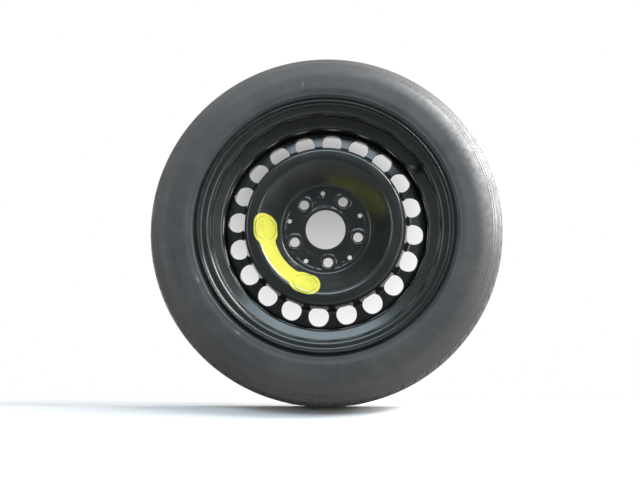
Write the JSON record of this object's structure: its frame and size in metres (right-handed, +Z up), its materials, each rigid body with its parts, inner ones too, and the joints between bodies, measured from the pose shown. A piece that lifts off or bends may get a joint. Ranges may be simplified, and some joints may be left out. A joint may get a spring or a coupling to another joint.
{
  "type": "spare wheel",
  "caption": "Narrow temporary spare wheel: black steel rim and vented dished disc with bolt holes and centre bore, slim tyre, snap-in valve with screw cap and a yellow film.",
  "frame": {"origin": "wheel centre: on the wheel's axis, midway between the rim's flanges", "axes": "+Y along the wheel's axis towards the hub side, so the outer face looks along -Y; +Z up as the wheel stands in the picture; +X to the right seen from the outer face"},
  "size_m": [0.585, 0.128, 0.585],
  "materials": {
    "tyre_rubber": "semi-matte dusty black rubber",
    "black_paint": "gloss black paint on pressed steel",
    "weld_paint": "gloss black paint over weld beads",
    "yellow_vinyl": "gloss yellow adhesive film",
    "valve_rubber": "satin black rubber",
    "brass": "turned brass",
    "seal_rubber": "matte seal rubber",
    "spring_steel": "drawn spring wire",
    "cap_plastic": "moulded black plastic"
  },
  "bodies": {
    "wheel": {"tyre": "tyre_rubber", "rim": "black_paint", "disc": "black_paint", "disc_welds": "weld_paint", "yellow_film": "yellow_vinyl", "valve_rubber": "valve_rubber", "valve_insert": "brass", "core_plug": "brass", "core_barrel": "brass", "core_gasket": "seal_rubber", "core_spring": "spring_steel"},
    "core_plunger": {"core_pin": "brass", "core_cup": "brass", "core_cup_seal": "seal_rubber"},
    "cap_liner": {"cap_seal": "seal_rubber"},
    "cap": {"valve_cap": "cap_plastic"}
  },
  "joints": [
    {"name": "plunger_press", "type": "slide", "parent": "wheel", "child": "core_plunger", "axis": [0.322, 0.9239, 0.2067], "range_m": [0, 0.0015], "stiffness_N_per_m": 900, "springref_m": -0.001, "deforming": ["core_spring"]},
    {"name": "cap_lift", "type": "slide", "parent": "wheel", "child": "cap_liner", "axis": [-0.322, -0.9239, -0.2067], "range_m": [0, 0.00476]},
    {"name": "cap_turn", "type": "hinge", "parent": "cap_liner", "child": "cap", "pos_m": [0.13875, -0.06132, 0.08908], "axis": [-0.322, -0.9239, -0.2067], "range_deg": [0, 2160]}
  ],
  "couplings": [
    {"joint": "cap_turn", "follows": "cap_lift", "rad_per_m": 7913.3}
  ]
}
